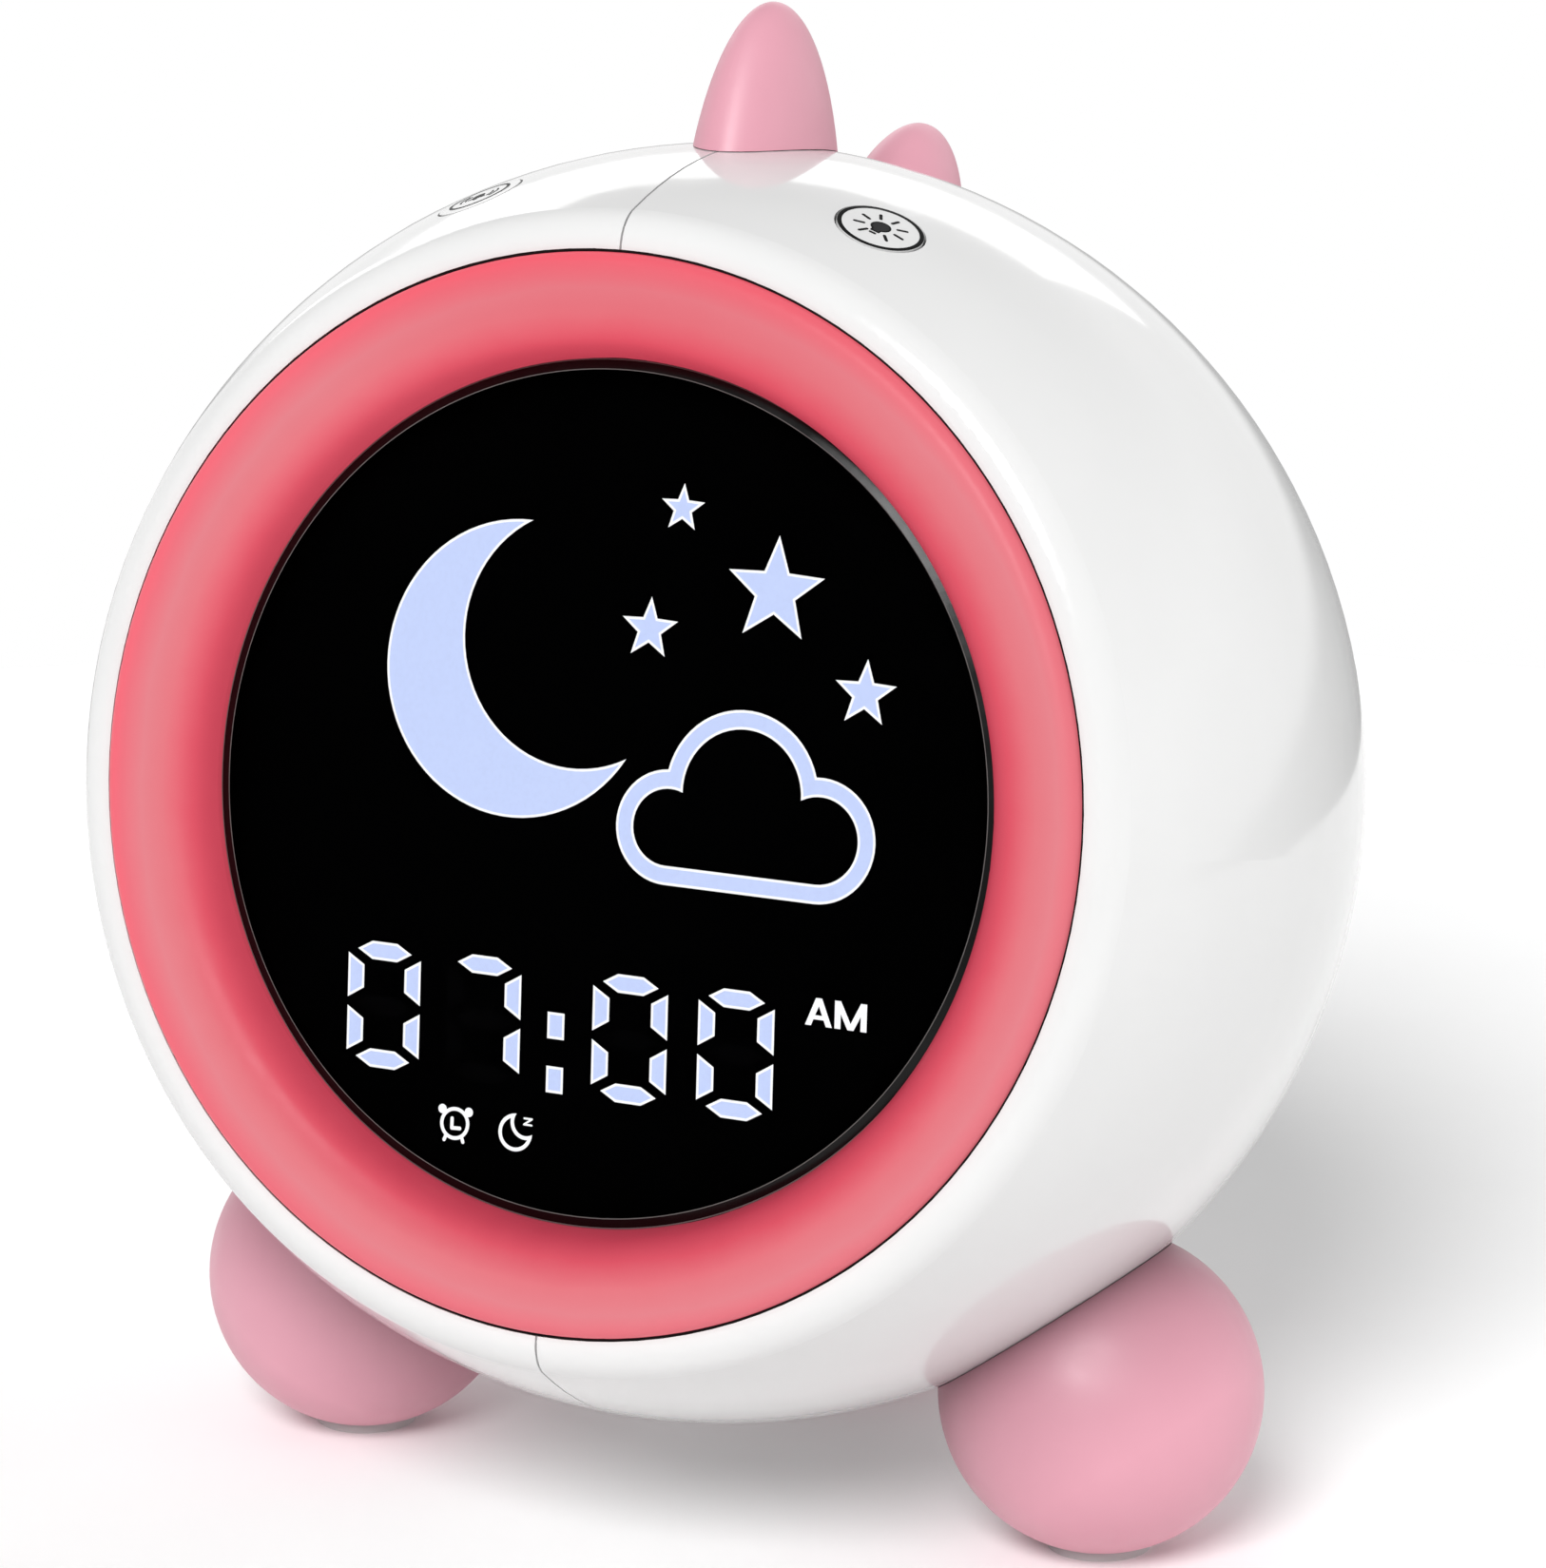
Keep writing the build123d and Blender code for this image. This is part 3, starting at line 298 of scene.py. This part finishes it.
def ring_coral():
    """Diffuser ring: coral with a painted glow, a painted highlight along the crown and painted shade at the inner
    lip.
    """
    material, tree, shader = surface("ring_coral", Emission_Strength=1.3, Specular_IOR_Level=0.1)
    vector = face_place(tree)
    flat = add(tree, "ShaderNodeVectorMath", {0: vector, 1: (1.0, 1.0, 0.0)}, operation="MULTIPLY")
    reach = add(tree, "ShaderNodeVectorMath", {0: flat.outputs["Vector"]}, operation="LENGTH")
    share = span(tree, reach.outputs["Value"], ring_lip_share, 1.0, ring_lip_radius, ring_radius)
    cloudy = span(tree, noise(tree, vector, ring_cloud_size, 3.0), -ring_cloud_share, ring_cloud_share)
    # Painted light: paler along the slant.
    painted_slant_light = span(tree, dot(tree, vector, ring_painted_light_slant), *ring_painted_light_slant_shares, -ring_radius, ring_radius)
    cloud_and_painted_light = add(tree, "ShaderNodeMath", {0: cloudy, 1: painted_slant_light}, operation="ADD")
    place = add(tree, "ShaderNodeMath", {0: share, 1: cloud_and_painted_light.outputs["Value"]}, operation="ADD")
    coral_with_painted_shade = ramp(tree, place.outputs["Value"], *ring_coral_light_and_shade_stops)
    # Painted light: richer colour near the top.
    height = span(tree, dot(tree, vector, (0.0, 1.0, 0.0)), 0.0, 1.0, 0.0, ring_radius)
    painted_top_light = ramp(tree, height, *ring_painted_top_light_stops)
    painted_top_glow = add(tree, "ShaderNodeVectorMath", {0: coral_with_painted_shade, 1: painted_top_light}, operation="MULTIPLY")
    # Painted light and shade at the inner edge along the lean.
    painted_lean = span(tree, dot(tree, vector, ring_painted_lean), *ring_painted_lean_shares, -ring_radius, ring_radius)
    inner = span(tree, share, 1.0, 0.0, *ring_painted_inner_shares)
    painted_lean_factor = add(tree, "ShaderNodeMath", {0: painted_lean, 1: inner, 2: 1.0}, operation="MULTIPLY_ADD")
    painted_glow = scaled(tree, painted_top_glow.outputs["Vector"], painted_lean_factor.outputs["Value"])
    # Painted glow: the painted light and shade feed both the base colour and the emission.
    tree.links.new(painted_glow, shader.inputs["Base Color"])
    tree.links.new(painted_glow, shader.inputs["Emission Color"])
    gloss = span(tree, noise(tree, vector, ring_gloss_size), 0.34, 0.46, 0.3, 0.7)
    tree.links.new(gloss, shader.inputs["Roughness"])
    grain(tree, shader, vector, *ring_grain)
    return material


def lens_black():
    """Clear window over the black mask and the lit signs, with a faint haze of fine wiping marks."""
    material, tree, shader = surface("lens_black", Base_Color=(0.93, 0.94, 0.95, 1.0), IOR=1.22,
                                     Transmission_Weight=1.0)
    haze = span(tree, noise(tree, place_of(tree), haze_size, 4.0), 0.0, 0.03, 0.4, 0.75)
    tree.links.new(haze, shader.inputs["Roughness"])
    return material


def lit(name, colour, strength):
    """Back-lit window: light with a faint grain of the diffuser film."""
    material, tree, shader = surface(name, Base_Color=(0.0, 0.0, 0.0, 1.0), Roughness=0.6,
                                     Emission_Strength=strength)
    film = noise(tree, place_of(tree), film_size)
    tint = ramp(tree, film, (0.3, shaded(colour, 0.96)), (0.7, colour))
    tree.links.new(tint, shader.inputs["Emission Color"])
    return material


def plated(name, colour, roughness):
    """Plated steel with fine drawn lines."""
    material, tree, shader = surface(name, Metallic=1.0)
    stretched = add(tree, "ShaderNodeMapping", {"Vector": place_of(tree), "Scale": line_stretch})
    drawn = stretched.outputs["Vector"]
    lines = noise(tree, drawn, line_size, 4.0)
    tint = ramp(tree, lines, (0.3, shaded(colour, 0.8)), (0.7, colour))
    tree.links.new(tint, shader.inputs["Base Color"])
    gloss = span(tree, lines, roughness * 0.8, roughness * 1.3, 0.3, 0.7)
    tree.links.new(gloss, shader.inputs["Roughness"])
    grain(tree, shader, drawn, *line_grain)
    return material


def board_green():
    """Circuit board: solder mask over paler tracks."""
    material, tree, shader = surface("board_green", Roughness=0.38, Coat_Weight=0.2)
    cells = add(tree, "ShaderNodeTexVoronoi", {"Vector": place_of(tree), "Scale": tracks_per_metre},
                distance="CHEBYCHEV", feature="F2")
    tracks = cells.outputs["Distance"]
    colours = ramp(tree, tracks, (0.42, (0.012, 0.085, 0.035)), (0.5, (0.03, 0.17, 0.07)),
                   (0.58, (0.012, 0.085, 0.035)))
    tree.links.new(colours, shader.inputs["Base Color"])
    bump = add(tree, "ShaderNodeBump", {"Height": tracks, "Distance": track_depth, "Strength": 0.6})
    tree.links.new(bump.outputs["Normal"], shader.inputs["Normal"])
    return material


def slot_materials():
    """One material for each material slot of the record."""
    return {
        "shell_white": moulded("shell_white", white, 0.12, 0.03, 0.985, 0.0016, 0.0000008,
                               Coat_Weight=0.35, Coat_Roughness=0.03),
        "button_white": moulded("button_white", white, 0.24, 0.04, 0.985, 0.0010, 0.0000016,
                                Coat_Weight=0.2, Coat_Roughness=0.1),
        "frame_white": moulded("frame_white", (0.74, 0.74, 0.73), 0.42, 0.06, 0.96, 0.0005, 0.000006),
        "soft_pink": moulded("soft_pink", pink, 0.46, 0.05, 0.975, 0.00030, 0.000005),
        "button_pink": moulded("button_pink", pink, 0.42, 0.05, 0.975, 0.00025, 0.000005),
        "plunger_grey": moulded("plunger_grey", (0.30, 0.30, 0.31), 0.45, 0.06, 0.92, 0.0003, 0.000005),
        "chip_black": moulded("chip_black", (0.012, 0.012, 0.013), 0.5, 0.08, 0.8, 0.0002, 0.000006),
        "mask_black": moulded("mask_black", (0.0006, 0.0006, 0.0007), 0.75, 0.08, 0.8, 0.0002, 0.000002,
                              Specular_IOR_Level=0.0),
        "unlit_grey": moulded("unlit_grey", (0.0015, 0.0015, 0.0017), 0.7, 0.08, 0.8, 0.0002, 0.000002,
                              Specular_IOR_Level=0.0),
        # The pads are real; their light grey is painted shade, set to read as the contact shadow under the feet.
        "pad_rubber": moulded("pad_rubber", (0.56, 0.53, 0.535), 0.8, 0.08, 0.85, 0.0004, 0.00002),
        "cone_paper": moulded("cone_paper", (0.05, 0.05, 0.05), 0.75, 0.1, 0.75, 0.0005, 0.00003),
        "cell_sleeve": moulded("cell_sleeve", (0.05, 0.16, 0.42), 0.3, 0.06, 0.9, 0.0015, 0.000008),
        "lead_sheath": moulded("lead_sheath", (0.05, 0.05, 0.052), 0.5, 0.08, 0.85, 0.0004, 0.00001),
        "lamp_resin": moulded("lamp_resin", (0.80, 0.70, 0.36), 0.3, 0.08, 0.9, 0.0003, 0.00001),
        "screw_steel": plated("screw_steel", (0.55, 0.55, 0.56), 0.34),
        "socket_steel": plated("socket_steel", (0.62, 0.62, 0.63), 0.28),
        "magnet_steel": plated("magnet_steel", (0.50, 0.50, 0.52), 0.32),
        "lit_blue": lit("lit_blue", (0.56, 0.655, 0.965), 1.06),
        "lit_white": lit("lit_white", (0.98, 0.985, 1.0), 1.06),
        "ring_coral": ring_coral(),
        "lens_black": lens_black(),
        "board_green": board_green(),
    }


materials = slot_materials()
# The feet's pink with painted shade near the ball.
shaded_foot_pink = moulded("shaded_foot_pink", pink, 0.46, 0.05, 0.975, 0.00030, 0.000005, shade_reach=foot_shade_reach)
black_ink = moulded("black_ink", (0.002, 0.002, 0.002), 0.5, 0.06, 0.7, 0.0002, 0.000002,
                    Specular_IOR_Level=0.06)
grey_ink = moulded("grey_ink", (0.022, 0.022, 0.023), 0.5, 0.06, 0.9, 0.0002, 0.000002,
                   Specular_IOR_Level=0.06)
soft_ink = moulded("soft_ink", (0.025, 0.025, 0.026), 0.5, 0.06, 0.9, 0.0002, 0.000002,
                   Specular_IOR_Level=0.06)
# Near-black for the strip in the ring's gap: painted shade.
gap_shade_black = moulded("gap_shade_black", (0.006, 0.005, 0.005), 0.6, 0.08, 0.8, 0.0003, 0.000004,
                     Specular_IOR_Level=0.1)
# Grey for the window's edges: painted highlight.
edge_highlight_grey = moulded("edge_highlight_grey", (0.10, 0.092, 0.090), 0.4, 0.06, 0.9, 0.0003, 0.000002)
edge_black = moulded("edge_black", (0.001, 0.001, 0.001), 0.2, 0.05, 0.8, 0.0004, 0.000001,
                     Specular_IOR_Level=0.25)


def dress_nodes():
    """Gives every node the material of its slot, and the feet the pink with painted shade near the ball."""
    feet = ("left_foot", "right_foot")
    for part in frame["record"]["subparts"]:
        mesh = nodes[part["node"]].data
        mesh.materials.clear()
        mesh.materials.append(shaded_foot_pink if part["node"] in feet else materials[part["material_slot"]])


# Meshes

def piece(name, body, slot, bm, *skins):
    """Object from a bmesh in the clock's own frame, riding on a body."""
    mesh = bpy.data.meshes.new(name)
    bm.to_mesh(mesh)
    bm.free()
    for skin in skins:
        mesh.materials.append(skin)
    made = bpy.data.objects.new(name, mesh)
    bpy.context.scene.collection.objects.link(made)
    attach(made, body)
    return made


def edged_sign(node, name):
    """Lit sign with a white edge round its front, in place of a packed sign."""
    bm = bmesh.new()
    bm.from_mesh(nodes[node].data)
    bmesh.ops.remove_doubles(bm, verts=bm.verts, dist=weld_reach)
    bmesh.ops.translate(bm, verts=bm.verts, vec=-out_of_display * sign_setback)
    bm.normal_update()
    front = [face for face in bm.faces if face.normal.dot(out_of_display) > front_share]
    edge = bmesh.ops.inset_region(bm, faces=front, thickness=sign_edge, use_even_offset=True,
                                  use_boundary=True)["faces"]
    for face in bm.faces:
        face.smooth = False
        face.material_index = 0
    for face in edge:
        face.material_index = 1
    made = piece(name, "case", "lit_blue", bm, materials["lit_blue"], materials["lit_white"])
    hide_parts(node)


def spun(profile):
    """Mesh of a profile of (radius, height) points turned about the axis of the display."""
    bm = bmesh.new()
    points = [bm.verts.new((radius, 0.0, height)) for radius, height in profile]
    lines = [bm.edges.new(pair) for pair in zip(points, points[1:])]
    bmesh.ops.spin(bm, geom=points + lines, axis=(0, 0, 1), cent=(0, 0, 0), angle=2 * pi,
                   steps=window_edges)
    bmesh.ops.remove_doubles(bm, verts=bm.verts, dist=weld_reach)
    bmesh.ops.recalc_face_normals(bm, faces=bm.faces[:])
    return bm


def display_window():
    """Polished window: a fine grey line round the bevel and a grey rim, both painted highlights on the glass
    edges.
    """
    bevel_inner = window_radius - window_bevel_width
    rim_inner = window_radius - window_rim
    bevel_low = window_front - window_bevel_depth
    bm = spun([(0.0, window_back), (window_flange_radius, window_back),
               (window_flange_radius, window_shoulder), (window_radius, window_shoulder),
               (window_radius, bevel_low - window_rim_drop), (rim_inner, bevel_low),
               (bevel_inner, window_front), (bevel_inner - window_line, window_front),
               (0.0, window_front)])
    for face in bm.faces:
        x, y, z = face.calc_center_median()
        reach = sqrt(x * x + y * y) / cos(pi / window_edges)
        # Painted highlight: the fine line and the rim take the grey.
        if z > bevel_low - window_rim_drop and reach > bevel_inner - window_line:
            face.material_index = 2 if bevel_inner < reach < rim_inner else 1
    bm.transform(seat_on(out_of_display, Vector((0, 0, 1))))
    made = piece("display_window", "case", "lens_black", bm, materials["lens_black"], edge_highlight_grey,
                 edge_black)
    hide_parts("display_lens")


def ring_gap_shade():
    """Thin dark strip with a rounded top, set in the gap round the ring as painted shade."""
    inner, outer = ring_radius + gap_shade_clearance, ring_radius + gap_shade_clearance + gap_shade_width
    middle, half = (inner + outer) / 2, gap_shade_width / 2
    top = [(middle + half * cos(radians(angle)), gap_shade_high - half + half * sin(radians(angle)))
           for angle in range(0, 181, 30)]
    bm = spun([(inner, gap_shade_low), (outer, gap_shade_low), *top, (inner, gap_shade_low)])
    bm.transform(seat_on(out_of_display, Vector((0, 0, 1))))
    piece("ring_gap_shade", "case", "mask_black", bm, gap_shade_black)


# Flat outlines for the prints, as closed loops of points

def arc(centre, radius, start, end, count):
    angles = [radians(start + (end - start) * number / count) for number in range(count + 1)]
    return [(centre[0] + radius * cos(angle), centre[1] + radius * sin(angle)) for angle in angles]


def circle(centre, radius, count=48):
    return arc(centre, radius, 0, 360, count)[:-1]


def bar(start, end, width):
    """Straight stroke with round ends."""
    along = Vector(end) - Vector(start)
    turn = Vector((1, 0)).angle_signed(along)
    heading = -turn * 180 / pi
    return (arc(end, width / 2, heading - 90, heading + 90, 10)
            + arc(start, width / 2, heading + 90, heading + 270, 10))


def bent_bar(centre, radius, start, end, width):
    """Stroke along an arc, with square ends."""
    return (arc(centre, radius + width / 2, start, end, 16)
            + arc(centre, radius - width / 2, end, start, 16))


def bulb(inset):
    """Light bulb without its cap."""
    radius = bulb_radius - inset
    neck = bulb_neck - inset
    low = inset - bulb_drop
    return arc((0, 0), radius, bulb_shoulder, 180 - bulb_shoulder, 36) + [(-neck, low), (neck, low)]


def bell(share=1.0):
    """Bell with a flared rim."""
    dome, flare = bell_radius * share, bell_flare * share
    low, rim = -bell_height * share, bell_rim * share
    return (arc((0, 0), dome, 0, 180, 24)
            + [(-dome, low / 2), (-flare, low), (-flare, low - rim), (flare, low - rim), (flare, low),
               (dome, low / 2)])


def clapper(share=1.0):
    low = (-bell_height - bell_rim - clapper_radius) * share
    return circle((0, low), clapper_radius * share, 20)


def filled(*loops):
    """Flat faces inside loops, with the inner loops as holes."""
    bm = bmesh.new()
    for loop in loops:
        corners = [bm.verts.new((x, y, 0.0)) for x, y in loop]
        for start, end in zip(corners, corners[1:] + corners[:1]):
            bm.edges.new((start, end))
    bmesh.ops.triangle_fill(bm, use_beauty=True, edges=bm.edges[:], normal=(0, 0, 1))
    return bm


def printed(name, body, ink, seat, height, *shapes):
    """Ink a hair thick on a cap, whose height over the seat's origin is a function of x and y."""
    whole = bmesh.new()
    for loops in shapes:
        bm = filled(*loops)
        raised = bmesh.ops.extrude_face_region(bm, geom=bm.faces[:])["geom"]
        top = {vert for vert in raised if isinstance(vert, bmesh.types.BMVert)}
        for vert in bm.verts:
            x, y, _ = vert.co
            vert.co.z = height(x, y) + (ink_thickness if vert in top else -ink_thickness)
        bmesh.ops.recalc_face_normals(bm, faces=bm.faces[:])
        bm.transform(seat)
        mesh = bpy.data.meshes.new("shape")
        bm.to_mesh(mesh)
        bm.free()
        whole.from_mesh(mesh)
        bpy.data.meshes.remove(mesh)
    slots = {part["node"]: part["material_slot"] for part in frame["record"]["subparts"]}
    carried = frame["record"]["behaviour"]["bodies"][body][0]
    piece(name, body, slots[carried], whole, ink)


def seat_on(outward, up):
    """Frame at the ball centre with Z outward and Y as near up as it can be."""
    z = outward.normalized()
    x = up.cross(z).normalized()
    axes = Matrix((x, z.cross(x), z)).transposed().to_4x4()
    return Matrix.Translation(ball_centre) @ axes


def print_top_buttons():
    """Black ring with a bulb in rays on the light button and a ringing bell on the sound button."""
    curve = max((vert.co - ball_centre).length for vert in nodes["light_button"].data.vertices)

    def height(x, y):
        return sqrt(curve * curve - x * x - y * y)

    def ring(share=1.0):
        reaches = (print_ring_radius, print_ring_radius - print_ring_width)
        return tuple(circle((0, 0), reach * share, 96) for reach in reaches)

    backward = Vector((0, 1, 0))
    seat = seat_on(-press_axes["light_press"], backward)
    rays = []
    for number in range(ray_count):
        angle = radians(ray_first + ray_step * number)
        start, end = [(reach * cos(angle), reach * sin(angle)) for reach in (ray_start, ray_end)]
        rays.append((bar(start, end, ray_width),))
    low = -bulb_cap_start - bulb_cap_width / 2
    cap = (bar((-bulb_neck / 2, low), (bulb_neck / 2, low), bulb_cap_width),)
    printed("light_print", "light_key", black_ink, seat, height, ring(), (bulb(0), bulb(bulb_line)), cap,
            *rays)
    printed("bulb_print", "light_key", grey_ink, seat, height, (bulb(bulb_line),))
    seat = seat_on(-press_axes["sound_press"], backward)
    waves = [(bent_bar((0, 0), radius * sound_share, middle - wave_half_angle, middle + wave_half_angle,
                       wave_width * sound_share),)
             for radius in wave_radii for middle in (0, 180)]
    printed("sound_print", "sound_key", soft_ink, seat, height, ring(sound_share), (bell(sound_share),),
            (clapper(sound_share),), *waves)


def print_rear_buttons():
    """A dial, a bell, a minus and a plus on the rear buttons."""
    reach, width = rear_sign_reach, rear_sign_width
    hands = [(dial_radius * x, dial_radius * y) for x, y in dial_hand_shares]
    dial = [(circle((0, 0), dial_radius + width / 2), circle((0, 0), dial_radius - width / 2))]
    dial += [(bar(start, end, width),) for start, end in zip(hands, hands[1:])]
    minus = (bar((-reach, 0), (reach, 0), width),)
    plus = (bar((0, -reach), (0, reach), width),)
    signs = {"set": dial, "alarm": [(bell(small_bell_share),), (clapper(small_bell_share),)],
             "minus": [minus], "plus": [minus, plus]}
    up = Vector((0, 0, 1))
    back = seat_on(-out_of_display, up)
    for name, shapes in signs.items():
        corners = [back.inverted() @ vert.co for vert in nodes[name + "_button"].data.vertices]
        x, y, z = zip(*corners)
        seat = back @ Matrix.Translation(((min(x) + max(x)) / 2, (min(y) + max(y)) / 2, max(z)))
        printed(name + "_print", name + "_key", black_ink, seat, lambda x, y: 0.0, *shapes)


# Stage

def floor():
    bm = bmesh.new()
    bmesh.ops.create_circle(bm, cap_ends=True, segments=floor_edges, radius=floor_radius)
    mesh = bpy.data.meshes.new("floor")
    bm.to_mesh(mesh)
    bm.free()
    material, tree, shader = surface("floor_paper", Roughness=0.9, Specular_IOR_Level=0.0)
    fibre = noise(tree, place_of(tree), floor_blot, 3.0)
    tree.links.new(ramp(tree, fibre, *floor_stops), shader.inputs["Base Color"])
    mesh.materials.append(material)
    made = bpy.data.objects.new("floor", mesh)
    bpy.context.scene.collection.objects.link(made)


def lamp(name, data, place):
    """Light at a place from the ball centre, turned to it."""
    made = bpy.data.objects.new(name, data)
    made.location = ball_centre + place
    made.rotation_mode = "QUATERNION"
    made.rotation_quaternion = place.to_track_quat("Z", "Y")
    bpy.context.scene.collection.objects.link(made)
    return made


def soft_box(name, place, sides, power):
    data = bpy.data.lights.new(name, "AREA")
    data.shape = "RECTANGLE"
    data.size, data.size_y = sides
    data.energy = power
    return lamp(name, data, place)


def lamps():
    """Key from the front, a soft box that shows in the gloss and a fill that does not."""
    key = bpy.data.lights.new("key", "SUN")
    key.energy = key_strength
    key.angle = radians(key_spread)
    lamp("key", key, key_direction)
    soft_box("rear", *rear_box)
    soft_box("side", *side_box).visible_glossy = False


def sky():
    """Studio with a bright rear wall and a black flag where the window mirrors it.

    The camera sees a white backdrop instead.
    """
    world = bpy.data.worlds.new("studio")
    world.use_nodes = True
    tree = world.node_tree
    light = tree.nodes["Background"]
    direction = add(tree, "ShaderNodeTexCoord").outputs["Generated"]
    studio = ramp(tree, span(tree, dot(tree, direction, sky_axis), 0.0, 1.0, -1.0, 1.0), *sky_stops)
    away = (ball_centre - camera_place).normalized()
    mirrored = away.reflect(out_of_display)
    flag = ramp(tree, dot(tree, direction, mirrored), *flag_stops)
    flagged = add(tree, "ShaderNodeVectorMath", {0: studio, 1: flag}, operation="MULTIPLY")
    tree.links.new(flagged.outputs["Vector"], light.inputs["Color"])
    backdrop = add(tree, "ShaderNodeBackground",
                   {"Color": (1.0, 1.0, 1.0, 1.0), "Strength": backdrop_strength})
    seen = add(tree, "ShaderNodeLightPath").outputs["Is Camera Ray"]
    both = add(tree, "ShaderNodeMixShader", {0: seen, 1: light.outputs[0], 2: backdrop.outputs[0]})
    tree.links.new(both.outputs[0], tree.nodes["World Output"].inputs["Surface"])
    bpy.context.scene.world = world


def camera():
    data = bpy.data.cameras.new("camera")
    data.sensor_width = camera_sensor
    data.lens = camera_focal_pixels * camera_sensor / frame_height
    data.clip_start, data.clip_end = camera_clip
    made = bpy.data.objects.new("camera", data)
    made.location = camera_place
    made.rotation_mode = "QUATERNION"
    made.rotation_quaternion = camera_look.to_track_quat("-Z", "Y")
    bpy.context.scene.collection.objects.link(made)
    bpy.context.scene.camera = made


dress_nodes()
display_window()
ring_gap_shade()
edged_sign("time_digits", "lit_digits")
edged_sign("night_picture", "lit_picture")
print_top_buttons()
print_rear_buttons()
floor()
lamps()
sky()
camera()
bpy.context.scene.view_settings.view_transform = "Standard"
